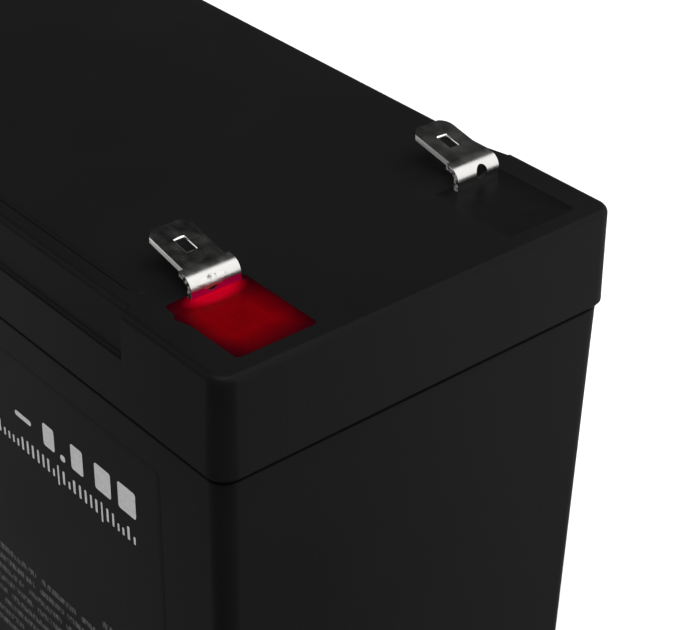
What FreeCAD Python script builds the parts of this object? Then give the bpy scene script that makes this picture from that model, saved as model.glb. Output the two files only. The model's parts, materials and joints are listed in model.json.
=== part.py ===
import FreeCAD, Part
import os
import re
import Sketcher

# Sealed lead acid battery of the 12 volt, 7.2 ampere hour class.
# Millimetres. The origin is the middle of the underside. +Z is up, +X points to the terminal end,
# and the label is on the -Y side. The positive terminal is the one nearer the label.

SIZES = {
    # Case as a whole: the lid's widest line gives the length and the width
    "length": 151.0,
    "width": 65.0,
    "case_height": 94.0,
    "lid_height": 14.45,
    "bond_line": 0.45,
    "bond_recess": 0.35,
    # Container: a drafted box with two rows of three cells
    "lid_overhang": 0.6,
    "container_taper": 0.68,
    "container_corner": 2.6,
    "foot_rounding": 1.2,
    "wall": 2.0,
    "floor_thickness": 2.2,
    "partition": 1.6,
    "cell_corner": 1.2,
    "rest_height": 2.0,
    "rest_width": 1.6,
    "rest_inset": 11.5,
    # Tongue on the container's rim and groove in the lid
    "tongue_inset": 0.83,
    "tongue_width": 1.0,
    "tongue_height": 3.0,
    "tongue_corner": 1.04,
    "tongue_inner_corner": 0.5,
    "groove_clearance": 0.3,
    # Lid
    "lid_corner": 3.0,
    "lid_taper": 0.38,
    "lid_rounding": 1.0,
    "lid_chamfer_width": 0.45,
    "lid_chamfer_height": 0.4,
    "lid_deck": 2.4,
    "lid_floor": 2.0,
    "recess_depth": 1.0,
    "recess_taper": 0.64,
    "recess_drop": 6.6,
    "recess_overhang": 1.15,
    # Vent pan under the cover, and its six chimneys
    "deck_bridge": 3.12,
    "rim_width": 2.47,
    "cover_corner": 3.0,
    "seat_depth": 1.8,
    "seat_width": 1.6,
    "pan_depth": 6.8,
    "vent_margin": 1.45,
    "chimney_radius": 3.5,
    "chimney_bore_radius": 1.75,
    # Vent cover
    "cover_gap": 0.3,
    "cover_thickness": 2.0,
    "cover_chamfer": 0.4,
    "stop_width": 2.0,
    "stop_height": 0.4,
    # Rubber valve caps
    "cap_wall": 1.1,
    "cap_crown": 1.2,
    "cap_lift": 0.6,
    # Terminal wells and what stands in them
    "well_reach": 7.0,
    "well_width": 11.9,
    "well_corner": 0.8,
    "end_cavity_wall": 2.2,
    "post_inset": 7.72,
    "post_radius": 3.2,
    "post_tip_radius": 2.1,
    "post_tip_height": 2.2,
    "post_collar_radius": 4.4,
    "post_collar_height": 1.5,
    "post_clearance": 0.1,
    "ring_section": 1.6,
    "ring_shelf": 1.2,
    "potting_drop": 0.15,
    # Terminals: one strip of plated brass, bent twice
    "strip": 0.75,
    "leg_width": 7.4,
    "leg_offset": 5.78,
    "leg_clearance": 0.47,
    "leg_rise": 1.15,
    "foot_reach": 3.7,
    "foot_bend_radius": 1.4,
    "tab_bend_radius": 1.75,
    "tab_tilt": 11.5,
    "tab_length": 8.8,
    "tab_width": 6.2,
    "tab_chamfer": 1.1,
    "tab_corner": 1.8,
    "shoulder_reach": 0.9,
    "terminal_shift": 0.95,
    "slot_length": 2.5,
    "slot_width": 1.5,
    "slot_reach": 4.5,
    "eye_radius": 0.95,
    "eye_shift": 0.6,
    "eye_rise": 1.45,
    # Plates, separators, straps and welds inside the cells. The two ratios are the plates'
    # thicknesses over the separator's
    "positive_count": 4,
    "positive_ratio": 2.6,
    "negative_ratio": 1.9,
    "stack_clearance": 0.2,
    "plate_gap": 1.2,
    "separator_rise": 1.5,
    "separator_overlap": 0.6,
    "lug_width": 8.0,
    "lug_height": 3.0,
    "lug_inset": 1.7,
    "strap_margin": 0.6,
    "strap_height": 3.0,
    "flag_width": 9.0,
    "flag_thickness": 3.1,
    "flag_height": 8.0,
    "weld_drop": 4.5,
    "weld_rise": 5.0,
    "weld_radius": 2.8,
    # Label on the long side
    "label_margin": 11.67,
    "label_foot": 12.3,
    "label_drop": 5.0,
    "label_corner": 1.5,
    "label_thickness": 0.15,
}

FORMULAS = {
    "joint_height": "case_height - lid_height",
    "container_top": "joint_height - bond_line",
    "joint_length": "length - 2 * lid_overhang",
    "joint_width": "width - 2 * lid_overhang",
    "foot_length": "joint_length - 2 * container_taper",
    "foot_width": "joint_width - 2 * container_taper",
    "foot_corner_radius": "container_corner - container_taper",
    "inner_length": "foot_length - 2 * wall",
    "inner_width": "foot_width - 2 * wall",
    "cell_length": "(inner_length - 2 * partition) / 3",
    "cell_width": "(inner_width - partition) / 2",
    "cell_pitch": "cell_length + partition",
    "cell_y": "(cell_width + partition) / 2",
    "rest_top": "floor_thickness + rest_height",
    "tongue_length": "joint_length - 2 * tongue_inset",
    "tongue_breadth": "joint_width - 2 * tongue_inset",
    "groove_depth": "tongue_height - bond_line + groove_clearance",
    "overshoot": "wall",
    "lid_straight": "lid_height - lid_chamfer_height",
    "ledge_height": "case_height - recess_drop",
    "plate_seat": "case_height - seat_depth",
    "pan_floor": "case_height - pan_depth",
    "well_left": "leg_middle - strip / 2 - leg_clearance",
    "well_right": "post_x + well_reach",
    "well_depth": "case_height - well_floor",
    "well_floor": "lid_underside + ring_section + ring_shelf",
    "cover_opening_length": "2 * (well_left - deck_bridge)",
    "cover_opening_width": "width - 2 * (lid_taper + recess_depth + rim_width)",
    "pan_length": "cover_opening_length - 2 * seat_width",
    "pan_width": "cover_opening_width - 2 * seat_width",
    "lid_underside": "pan_floor - lid_floor",
    "deck_underside": "case_height - lid_deck",
    "vent_x": "pan_length / 2 - cap_radius - vent_margin",
    "chimney_height": "plate_seat - pan_floor - cap_crown - stop_height",
    "cap_radius": "chimney_radius + cap_wall",
    "plate_width": "cell_length - 2 * plate_gap",
    "strap_x": "plate_width / 2 - lug_inset - lug_width / 2",
    "weld_height": "container_top - weld_drop",
    "strap_bottom": "weld_height - weld_rise",
    "strap_top": "strap_bottom + strap_height",
    "plate_top": "strap_bottom - lug_height",
    "stack": "cell_width - 2 * stack_clearance",
    "separator": "stack / (positive_count * (positive_ratio + 2) + (positive_count + 1)"
                 " * negative_ratio)",
    "positive_plate": "positive_ratio * separator",
    "negative_plate": "negative_ratio * separator",
    "plate_pitch": "negative_plate + positive_plate + 2 * separator",
    "post_x": "cell_pitch + strap_x",
    "post_y": "inner_width / 2 - post_inset",
    "ring_radius": "post_radius + ring_section",
    "leg_middle": "post_x - leg_offset - strip / 2",
    "foot_middle": "well_floor + strip / 2",
    "bend_height": "case_height + leg_rise",
    "tab_bend_middle": "tab_bend_radius - strip / 2",
    "bend_end_x": "leg_middle - tab_bend_middle * (1 - sin(tab_tilt * 1 deg))",
    "bend_end_z": "bend_height + tab_bend_middle * cos(tab_tilt * 1 deg)",
    "tab_tip_x": "bend_end_x - tab_length * cos(tab_tilt * 1 deg)",
    "tab_tip_z": "bend_end_z + tab_length * sin(tab_tilt * 1 deg)",
}

# Cells in the order the current runs: column along X, row along Y
CELLS = [(1, -1), (0, -1), (-1, -1), (-1, 1), (0, 1), (1, 1)]
LAST_CELL = len(CELLS)


def formula(text):
    """Turn a formula of the names above into an expression that reads the sheet."""
    def expand(match):
        word = match.group()
        if word in FORMULAS:
            return "(" + formula(FORMULAS[word]) + ")"
        return "Size." + word if word in SIZES else word
    return re.sub(r"[a-z][a-z_]*", expand, text)


def number(thing, text):
    value = thing.evalExpression(formula(text))
    return float(getattr(value, "Value", value))


def bind(thing, **formulas):
    """Bind properties to formulas; a double underscore in a name stands for a dot."""
    for name, text in formulas.items():
        thing.setExpression(name.replace("__", "."), formula(text))


def make_sheet(doc):
    sheet = doc.addObject("Spreadsheet::Sheet", "Size")
    for row, (name, value) in enumerate(SIZES.items(), start=1):
        sheet.set(f"A{row}", name)
        sheet.set(f"B{row}", str(value))
        sheet.setAlias(f"B{row}", name)
    doc.recompute()


def new_body(doc, label):
    body = doc.addObject("PartDesign::Body", label)
    body.Label = label
    return body


# Sketches

def new_sketch(body, plane, offset="0"):
    """A sketch on one of the body's origin planes, moved along that plane's normal."""
    sketch = body.newObject("Sketcher::SketchObject", "Sketch")
    support = next(f for f in body.Origin.OriginFeatures if f.Role == plane)
    sketch.AttachmentSupport = [(support, "")]
    sketch.MapMode = "FlatFace"
    bind(sketch, AttachmentOffset__Base__z=offset)
    return sketch


def hold(sketch, geometry, point, x, y):
    """Hold one point of a sketch at the given place."""
    for kind, where in (("DistanceX", x), ("DistanceY", y)):
        constraint = Sketcher.Constraint(kind, -1, 1, geometry, point, number(sketch, where))
        index = sketch.addConstraint(constraint)
        sketch.setExpression(f"Constraints[{index}]", formula(where))


def set_radius(sketch, geometry, radius):
    index = sketch.addConstraint(Sketcher.Constraint("Radius", geometry, number(sketch, radius)))
    sketch.setExpression(f"Constraints[{index}]", formula(radius))


def add_segment(sketch, start, end, arc=None):
    """A line, or an arc of (radius, turn) where turn is 1 to the left and -1 to the right.
    Returns the geometry with the numbers of its first and last point."""
    if not arc:
        return sketch.addGeometry(Part.LineSegment(start, end)), 1, 2
    radius, turn = arc
    chord = end - start
    outward = FreeCAD.Vector(chord.y, -chord.x, 0).normalize() * turn
    size = number(sketch, radius)
    rise = size - max(size ** 2 - (chord.Length / 2) ** 2, 0) ** 0.5
    middle = start + chord * 0.5 + outward * rise
    geometry = sketch.addGeometry(Part.Arc(start, middle, end))
    set_radius(sketch, geometry, radius)
    return (geometry, 1, 2) if turn > 0 else (geometry, 2, 1)


def path(sketch, points, arcs=None, closed=False):
    """A line through the points. arcs maps the number of a segment to its (radius, turn)."""
    arcs = arcs or {}
    places = [FreeCAD.Vector(number(sketch, x), number(sketch, y), 0) for x, y in points]
    ends = places[1:] + places[:1] if closed else places[1:]
    segments = [add_segment(sketch, start, end, arcs.get(i))
                for i, (start, end) in enumerate(zip(places, ends))]
    following = segments[1:] + segments[:1] if closed else segments[1:]
    for (geometry, _, last), (other, first, _) in zip(segments, following):
        sketch.addConstraint(Sketcher.Constraint("Coincident", geometry, last, other, first))
    for (geometry, first, _), (x, y) in zip(segments, points):
        hold(sketch, geometry, first, x, y)
    if not closed:
        geometry, _, last = segments[-1]
        hold(sketch, geometry, last, *points[-1])


def outline(sketch, points, arcs=None):
    path(sketch, points, arcs, closed=True)


def rectangle(sketch, left, right, low, high):
    outline(sketch, [(left, low), (right, low), (right, high), (left, high)])


def cut_rectangle(sketch, left, right, low, high, corner, arcs=None):
    """A rectangle with its four corners cut straight, or rounded by the arcs."""
    points = [
        (f"{left} + {corner}", low), (f"{right} - ({corner})", low),
        (right, f"{low} + {corner}"), (right, f"{high} - ({corner})"),
        (f"{right} - ({corner})", high), (f"{left} + {corner}", high),
        (left, f"{high} - ({corner})"), (left, f"{low} + {corner}"),
    ]
    outline(sketch, points, arcs)


def rounded_rectangle(sketch, left, right, low, high, radius):
    cut_rectangle(sketch, left, right, low, high, radius, {i: (radius, 1) for i in (1, 3, 5, 7)})


def centred_rectangle(sketch, length, width, radius, shape=rounded_rectangle):
    shape(sketch, f"-({length}) / 2", f"({length}) / 2",
          f"-({width}) / 2", f"({width}) / 2", radius)


def circle(sketch, x, y, radius):
    centre = FreeCAD.Vector(number(sketch, x), number(sketch, y), 0)
    geometry = sketch.addGeometry(
        Part.Circle(centre, FreeCAD.Vector(0, 0, 1), number(sketch, radius)))
    set_radius(sketch, geometry, radius)
    hold(sketch, geometry, 3, x, y)


def cell_rectangles(sketch):
    """The six cells in plan."""
    for column, row in CELLS:
        x = f"{column} * cell_pitch"
        y = f"{row} * cell_y"
        cut_rectangle(sketch, f"{x} - cell_length / 2", f"{x} + cell_length / 2",
                      f"{y} - cell_width / 2", f"{y} + cell_width / 2", "cell_corner")


# Features

def add_feature(body, kind, sketch, length, taper=None, upward=None, both_ways=False):
    feature = body.newObject("PartDesign::" + kind, kind)
    feature.Profile = sketch
    bind(feature, Length=length)
    if taper:
        bind(feature, TaperAngle=taper)
    if upward is not None:
        feature.Reversed = upward == (kind == "Pocket")
    if both_ways:
        feature.SideType = "Symmetric"
    body.Tip = feature
    return feature


def pad_up(body, sketch, height, taper=None):
    return add_feature(body, "Pad", sketch, height, taper, upward=True)


def pad_down(body, sketch, height, taper=None):
    return add_feature(body, "Pad", sketch, height, taper, upward=False)


def pocket_up(body, sketch, depth):
    return add_feature(body, "Pocket", sketch, depth, upward=True)


def pocket_down(body, sketch, depth):
    return add_feature(body, "Pocket", sketch, depth, upward=False)


def dress_edges(body, kind, chosen):
    """A fillet or chamfer on each edge of the body's last feature for which chosen(edge) is true."""
    body.Document.recompute()
    base = body.Tip
    names = [f"Edge{i}" for i, edge in enumerate(base.Shape.Edges, start=1) if chosen(edge)]
    dressing = body.newObject("PartDesign::" + kind, kind)
    dressing.Base = (base, names)
    body.Tip = dressing
    return dressing


def round_edges(body, radius, chosen):
    bind(dress_edges(body, "Fillet", chosen), Radius=radius)


def chamfer_edges(body, size, chosen):
    bind(dress_edges(body, "Chamfer", chosen), Size=size)


def lies_at(height):
    """A test for edges that lie level at a height."""
    def test(edge):
        box = edge.BoundBox
        return abs(box.ZMin - height) < 1e-4 and abs(box.ZMax - height) < 1e-4
    return test


def revolve(body, points):
    """A turned form from an outline of (radius, height) points."""
    sketch = new_sketch(body, "XZ_Plane")
    outline(sketch, points)
    turned = body.newObject("PartDesign::Revolution", "Revolution")
    turned.Profile = sketch
    turned.ReferenceAxis = (sketch, ["V_Axis"])
    turned.Angle = 360
    body.Tip = turned
    return turned


# Container

def make_container(doc):
    body = new_body(doc, "container")
    foot = new_sketch(body, "XY_Plane")
    centred_rectangle(foot, "foot_length", "foot_width", "foot_corner_radius")
    pad_up(body, foot, "container_top", "atan(container_taper / container_top)")
    round_edges(body, "foot_rounding", lies_at(0))

    cells = new_sketch(body, "XY_Plane", "container_top")
    cell_rectangles(cells)
    pocket_down(body, cells, "container_top - floor_thickness")

    rests = new_sketch(body, "XY_Plane", "floor_thickness")
    for column in (-1, 0, 1):
        for side in (-1, 1):
            x = f"{column} * cell_pitch + {side} * (cell_length / 2 - rest_inset)"
            rectangle(rests, f"{x} - rest_width / 2", f"{x} + rest_width / 2",
                      "-inner_width / 2", "inner_width / 2")
    pad_up(body, rests, "rest_height")

    tongue = new_sketch(body, "XY_Plane", "container_top")
    tongue_ring(tongue, "0")
    pad_up(body, tongue, "tongue_height")

    across = new_sketch(body, "YZ_Plane")
    for row in (-1, 1):
        circle(across, f"{row} * cell_y", "weld_height", "weld_radius")
    add_feature(body, "Pocket", across, "cell_length + 4 * partition", both_ways=True)

    middle = new_sketch(body, "XZ_Plane")
    circle(middle, "-cell_pitch - strap_x", "weld_height", "weld_radius")
    add_feature(body, "Pocket", middle, "2 * partition", both_ways=True)
    return body


def tongue_ring(sketch, grow):
    """The ring of the tongue in plan, or of the groove round it when grow is a clearance. Its
    corners are hidden and cut straight; grow / 2 keeps the clearance across them."""
    centred_rectangle(sketch, f"tongue_length + 2 * {grow}", f"tongue_breadth + 2 * {grow}",
                      f"tongue_corner + {grow} / 2", cut_rectangle)
    inside = f"2 * (tongue_width + {grow})"
    centred_rectangle(sketch, f"tongue_length - {inside}", f"tongue_breadth - {inside}",
                      f"tongue_inner_corner - {grow} / 2", cut_rectangle)


def make_bond(doc):
    """The glue between container and lid, with the groove's share round the tongue."""
    body = new_body(doc, "lid_bond")
    line = new_sketch(body, "XY_Plane", "container_top")
    centred_rectangle(line, "joint_length - 2 * bond_recess", "joint_width - 2 * bond_recess",
                      "container_corner - bond_recess")
    cell_rectangles(line)
    pad_up(body, line, "bond_line")
    groove = new_sketch(body, "XY_Plane", "joint_height")
    tongue_ring(groove, "groove_clearance")
    pad_up(body, groove, "groove_depth")
    tongue = new_sketch(body, "XY_Plane", "container_top")
    tongue_ring(tongue, "0")
    pocket_up(body, tongue, "tongue_height")
    return body


# Lid

def make_lid(doc):
    body = new_body(doc, "lid")
    rim = new_sketch(body, "XY_Plane", "joint_height + lid_chamfer_height")
    centred_rectangle(rim, "length", "width", "lid_corner")
    pad_up(body, rim, "lid_straight", "-atan(lid_taper / (lid_straight))")
    lower = new_sketch(body, "XY_Plane", "joint_height + lid_chamfer_height")
    centred_rectangle(lower, "length", "width", "lid_corner")
    pad_down(body, lower, "lid_chamfer_height", "-atan(lid_chamfer_width / lid_chamfer_height)")
    round_edges(body, "lid_rounding", lies_at(number(body, "case_height")))
    cut_recesses(body)
    cut_vent_pan(body)
    cut_cells(body)
    cut_wells(body)
    groove = new_sketch(body, "XY_Plane", "joint_height")
    tongue_ring(groove, "groove_clearance")
    pocket_up(body, groove, "groove_depth")
    return body


def cut_recesses(body):
    """The shallow step along the middle of both long sides, rounded at its top like the rim."""
    sketch = new_sketch(body, "YZ_Plane")
    top = "width / 2 - lid_taper - recess_depth"
    ledge = f"{top} + recess_taper"
    beyond = "width / 2 + overshoot"
    above = "case_height + overshoot"
    for side in (-1, 1):
        points = [
            (f"{side} * ({beyond})", "ledge_height"),
            (f"{side} * ({ledge})", "ledge_height"),
            (f"{side} * ({top})", "case_height - lid_rounding"),
            (f"{side} * ({top} - lid_rounding)", "case_height"),
            (f"{side} * ({top} - lid_rounding)", above),
            (f"{side} * ({beyond})", above),
        ]
        outline(sketch, points, {2: ("lid_rounding", side)})
    add_feature(body, "Pocket", sketch, "cover_opening_length + 2 * recess_overhang",
                both_ways=True)


def vent_places():
    return [(f"{column} * vent_x", f"{row} * cell_y") for column, row in CELLS]


def cut_vent_pan(body):
    seat = new_sketch(body, "XY_Plane", "case_height")
    centred_rectangle(seat, "cover_opening_length", "cover_opening_width", "cover_corner")
    pocket_down(body, seat, "seat_depth")
    pan = new_sketch(body, "XY_Plane", "case_height")
    centred_rectangle(pan, "pan_length", "pan_width", "cover_corner - seat_width")
    pocket_down(body, pan, "pan_depth")
    chimneys = new_sketch(body, "XY_Plane", "pan_floor")
    for x, y in vent_places():
        circle(chimneys, x, y, "chimney_radius")
    pad_up(body, chimneys, "chimney_height")
    bores = new_sketch(body, "XY_Plane", "pan_floor + chimney_height")
    for x, y in vent_places():
        circle(bores, x, y, "chimney_bore_radius")
    pocket_down(body, bores, "chimney_height + lid_floor + overshoot")


def cut_cells(body):
    """Head room over the cells, with a deeper cavity at each end beyond the vent pan."""
    cells = new_sketch(body, "XY_Plane", "joint_height")
    cell_rectangles(cells)
    pocket_up(body, cells, "lid_underside - joint_height")
    ends = new_sketch(body, "XY_Plane", "joint_height")
    inner = "pan_length / 2 + end_cavity_wall + seat_width"
    outer = "inner_length / 2"
    beside_well = "post_y - well_width / 2 - end_cavity_wall"
    for row in (-1, 1):
        for end, reach in ((-1, "inner_width / 2"), (1, beside_well)):
            near, far = f"{row} * partition / 2", f"{row} * ({reach})"
            rectangle(ends, f"{end} * ({inner})", f"{end} * ({outer})", near, far)
    pocket_up(body, ends, "deck_underside - joint_height")


def well_rectangle(sketch, row):
    y = f"{row} * post_y"
    rounded_rectangle(sketch, "well_left", "well_right",
                      f"{y} - well_width / 2", f"{y} + well_width / 2", "well_corner")


def cut_wells(body):
    wells = new_sketch(body, "XY_Plane", "case_height")
    seats = new_sketch(body, "XY_Plane", "well_floor")
    holes = new_sketch(body, "XY_Plane", "well_floor")
    for row in (-1, 1):
        well_rectangle(wells, row)
        circle(seats, "post_x", f"{row} * post_y", "ring_radius")
        circle(holes, "post_x", f"{row} * post_y", "post_radius + post_clearance")
    pocket_down(body, wells, "well_depth")
    pocket_down(body, seats, "ring_section")
    pocket_down(body, holes, "well_floor - lid_underside + overshoot")


def make_vent_cover(doc):
    """The panel over the vents; two ribs under it hold the valve caps down."""
    body = new_body(doc, "vent_cover")
    panel = new_sketch(body, "XY_Plane", "plate_seat")
    centred_rectangle(panel, "cover_opening_length - 2 * cover_gap",
                      "cover_opening_width - 2 * cover_gap", "cover_corner - cover_gap")
    pad_up(body, panel, "cover_thickness")
    chamfer_edges(body, "cover_chamfer", lies_at(number(body, "plate_seat + cover_thickness")))
    stops = new_sketch(body, "XY_Plane", "plate_seat")
    for row in (-1, 1):
        y = f"{row} * cell_y"
        rectangle(stops, "-vent_x - chimney_radius", "vent_x + chimney_radius",
                  f"{y} - stop_width / 2", f"{y} + stop_width / 2")
    pad_down(body, stops, "stop_height")
    return body


def make_valve_cap(doc, index):
    """A rubber cup pressed over one chimney; it lifts at the rim to let gas out."""
    body = new_body(doc, f"valve_cap_{index}")
    top = "chimney_height + cap_crown"
    revolve(body, [
        ("0", "chimney_height"), ("chimney_radius", "chimney_height"),
        ("chimney_radius", "cap_lift"), ("cap_radius", "cap_lift"),
        ("cap_radius", top), ("0", top)])
    x, y = vent_places()[index - 1]
    bind(body, Placement__Base__x=x, Placement__Base__y=y, Placement__Base__z="pan_floor")
    return body


# Terminals, posts and what seals them

def make_terminal(doc, polarity, row):
    """One strip: foot on the post, leg up the side of the well, and a tab that rises to its tip."""
    body = new_body(doc, f"{polarity}_terminal")
    y = f"{row} * post_y + terminal_shift"
    foot_end = "post_x + foot_reach"
    section = new_sketch(body, "YZ_Plane", foot_end)
    rectangle(section, f"{y} - leg_width / 2", f"{y} + leg_width / 2",
              "well_floor", "well_floor + strip")
    spine = new_sketch(body, "XZ_Plane", f"-({y})")
    path(spine, [
        (foot_end, "foot_middle"),
        ("leg_middle + foot_bend_radius", "foot_middle"),
        ("leg_middle", "foot_middle + foot_bend_radius"),
        ("leg_middle", "bend_height"),
        ("bend_end_x", "bend_end_z"),
        ("tab_tip_x", "tab_tip_z"),
    ], {1: ("foot_bend_radius", -1), 3: ("tab_bend_middle", 1)})
    strip = body.newObject("PartDesign::AdditivePipe", "Strip")
    strip.Profile = section
    strip.Spine = (spine, [])
    body.Tip = strip

    trim = new_sketch(body, "XY_Plane", "bend_height")
    shoulder = "bend_end_x - shoulder_reach"
    tip = "tab_tip_x - strip"
    end = "tab_tip_x"
    half = "tab_width / 2"
    far = "leg_width"
    outline(trim, [
        (shoulder, f"{y} + {far}"), (tip, f"{y} + {far}"), (tip, f"{y} - {far}"),
        (shoulder, f"{y} - {far}"), (shoulder, f"{y} - {half}"),
        (f"{end} + tab_chamfer", f"{y} - {half}"), (end, f"{y} - {half} + tab_chamfer"),
        (end, f"{y} + {half} - tab_corner"), (f"{end} + tab_corner", f"{y} + {half}"),
        (shoulder, f"{y} + {half}")], {7: ("tab_corner", -1)})
    pocket_up(body, trim, "tab_length")

    slot = new_sketch(body, "XY_Plane", "bend_height")
    middle = "bend_end_x - slot_reach"
    rectangle(slot, f"{middle} - slot_length / 2", f"{middle} + slot_length / 2",
              f"{y} - slot_width / 2", f"{y} + slot_width / 2")
    pocket_up(body, slot, "tab_length")

    eye = new_sketch(body, "YZ_Plane", "leg_middle")
    circle(eye, f"{y} + {row} * eye_shift", "case_height + eye_rise", "eye_radius")
    add_feature(body, "Pocket", eye, "4 * strip", both_ways=True)

    post_hole = new_sketch(body, "XY_Plane", "foot_middle")
    circle(post_hole, "post_x", f"{row} * post_y", "post_tip_radius")
    add_feature(body, "Pocket", post_hole, "2 * strip", both_ways=True)
    return body


def make_post(doc, polarity, row):
    """A lead post on its strap; the foot of the terminal sits on its shoulder."""
    body = new_body(doc, f"{polarity}_post")
    top = "well_floor + post_tip_height"
    revolve(body, [
        ("0", "strap_top"), ("post_collar_radius", "strap_top"),
        ("post_collar_radius", "strap_top + post_collar_height"),
        ("post_radius", "strap_top + post_collar_height"), ("post_radius", "well_floor"),
        ("post_tip_radius", "well_floor"), ("post_tip_radius", top), ("0", top)])
    bind(body, Placement__Base__x="post_x", Placement__Base__y=f"{row} * post_y")
    return body


def make_o_ring(doc, polarity, row):
    """A square-cut ring that fills its seat round the post."""
    body = new_body(doc, f"{polarity}_o_ring")
    revolve(body, [("post_radius", "well_floor - ring_section"),
                   ("ring_radius", "well_floor - ring_section"),
                   ("ring_radius", "well_floor"), ("post_radius", "well_floor")])
    bind(body, Placement__Base__x="post_x", Placement__Base__y=f"{row} * post_y")
    return body


def make_potting(doc, polarity, row, terminal, post):
    """Epoxy that fills the well round the foot, the leg and the tip of the post."""
    block = new_body(doc, f"{polarity}_fill")
    sketch = new_sketch(block, "XY_Plane", "well_floor")
    well_rectangle(sketch, row)
    pad_up(block, sketch, "well_depth - potting_drop")
    tool = doc.addObject("Part::MultiFuse", f"{polarity}_insert")
    tool.Shapes = [terminal, post]
    potting = doc.addObject("Part::Cut", f"{polarity}_potting")
    potting.Label = f"{polarity}_potting"
    potting.Base = block
    potting.Tool = tool
    return potting


# Cells

def strap_side(polarity, index):
    """1 when the strap is at the +X end of its cell. The row nearer the label runs away from
    the terminals, the other row runs back."""
    outward = index <= LAST_CELL // 2
    return 1 if outward == (polarity == "positive") else -1


def has_post(polarity, index):
    return index == (1 if polarity == "positive" else LAST_CELL)


def crosses_middle(polarity, index):
    """True for the two straps that meet through the wall between the rows."""
    return index == LAST_CELL // 2 + (1 if polarity == "positive" else 0)


def make_plate_group(doc, polarity, index):
    """The plates of one polarity in one cell, burned to their strap, with its flag."""
    body = new_body(doc, f"{polarity}_plates_{index}")
    column, row = CELLS[index - 1]
    side = strap_side(polarity, index)
    x = f"{column} * cell_pitch"
    y = f"{row} * cell_y"
    strap_middle = f"{x} + {side} * strap_x"

    strap = new_sketch(body, "XY_Plane", "strap_bottom")
    half = "(lug_width / 2 + strap_margin)"
    rectangle(strap, f"{strap_middle} - {half}", f"{strap_middle} + {half}",
              f"{y} - stack / 2", f"{y} + stack / 2")
    pad_up(body, strap, "strap_height")

    if not has_post(polarity, index):
        flag = new_sketch(body, "XY_Plane", "strap_bottom")
        if crosses_middle(polarity, index):
            wall_y = f"{row} * partition / 2"
            rectangle(flag, f"{strap_middle} - flag_width / 2", f"{strap_middle} + flag_width / 2",
                      wall_y, f"{wall_y} + {row} * flag_thickness")
        else:
            wall_x = f"{x} + {side} * cell_length / 2"
            rectangle(flag, f"{wall_x} - {side} * flag_thickness", wall_x,
                      f"{y} - flag_width / 2", f"{y} + flag_width / 2")
        pad_up(body, flag, "flag_height")

    positive = polarity == "positive"
    thickness = "positive_plate" if positive else "negative_plate"
    start = f"{y} - stack / 2" + (" + negative_plate + separator" if positive else "")
    bottom = "rest_top + separator" if positive else "rest_top"
    plate = new_sketch(body, "XZ_Plane", f"-({start})")
    left, right = f"{x} - plate_width / 2", f"{x} + plate_width / 2"
    lug_left, lug_right = f"{strap_middle} - lug_width / 2", f"{strap_middle} + lug_width / 2"
    outline(plate, [
        (left, bottom), (right, bottom), (right, "plate_top"), (lug_right, "plate_top"),
        (lug_right, "strap_bottom"), (lug_left, "strap_bottom"), (lug_left, "plate_top"),
        (left, "plate_top")])
    first = body.newObject("PartDesign::Pad", "Plate")
    first.Profile = plate
    first.Reversed = True
    bind(first, Length=thickness)
    body.Tip = first
    repeat_along_y(body, first, "positive_count" if positive else "positive_count + 1")
    return body


def repeat_along_y(body, feature, count):
    pattern = body.newObject("PartDesign::LinearPattern", "Row")
    axis = next(f for f in body.Origin.OriginFeatures if f.Role == "Y_Axis")
    pattern.Originals = [feature]
    pattern.Direction = (axis, [""])
    bind(pattern, Length=f"({count} - 1) * plate_pitch", Occurrences=count)
    body.Tip = pattern
    return pattern


def make_separators(doc, index):
    """Glass mats, one folded round the underside of each positive plate."""
    body = new_body(doc, f"separators_{index}")
    body.AllowCompound = True
    column, row = CELLS[index - 1]
    width = "plate_width + 2 * separator_overlap"
    sketch = new_sketch(body, "YZ_Plane", f"{column} * cell_pitch - ({width}) / 2")
    left = f"{row} * cell_y - stack / 2 + negative_plate"
    right = f"{left} + positive_plate + 2 * separator"
    top = "plate_top + separator_rise"
    fold = "rest_top + separator"
    outline(sketch, [
        (left, top), (left, "rest_top"), (right, "rest_top"), (right, top),
        (f"{right} - separator", top), (f"{right} - separator", fold),
        (f"{left} + separator", fold), (f"{left} + separator", top)])
    mat = pad_up(body, sketch, width)
    repeat_along_y(body, mat, "positive_count")
    return body


def make_weld(doc, index):
    """The lead that joins two straps through the wall between cell index and the next."""
    weld = doc.addObject("Part::Cylinder", f"intercell_weld_{index}")
    weld.Label = f"intercell_weld_{index}"
    column, row = CELLS[index - 1]
    bind(weld, Radius="weld_radius", Height="partition", Placement__Base__z="weld_height")
    if crosses_middle("negative", index):
        weld.Placement.Rotation = FreeCAD.Rotation(FreeCAD.Vector(1, 0, 0), -90)
        bind(weld, Placement__Base__x="-cell_pitch - strap_x",
             Placement__Base__y="-partition / 2")
    else:
        weld.Placement.Rotation = FreeCAD.Rotation(FreeCAD.Vector(0, 1, 0), 90)
        side = strap_side("negative", index)
        middle = f"({column} + {side} / 2) * cell_pitch"
        bind(weld, Placement__Base__x=f"{middle} - partition / 2",
             Placement__Base__y=f"{row} * cell_y")
    return weld


def make_label(doc):
    """A thin label on the drafted -Y face of the container."""
    body = new_body(doc, "side_label")
    sketch = new_sketch(body, "XZ_Plane")
    top = "joint_height - label_drop"
    half = "(foot_length / 2 - label_margin)"
    rounded_rectangle(sketch, f"-{half}", half, "label_foot", top, "label_corner")
    pad = body.newObject("PartDesign::Pad", "Sheet")
    pad.Profile = sketch
    bind(pad, Length="label_thickness")
    body.Tip = pad
    body.Placement.Rotation = FreeCAD.Rotation(FreeCAD.Vector(1, 0, 0), 1)
    bind(body, Placement__Rotation__Angle="atan(container_taper / container_top)",
         Placement__Base__y="-foot_width / 2")
    return body


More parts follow.
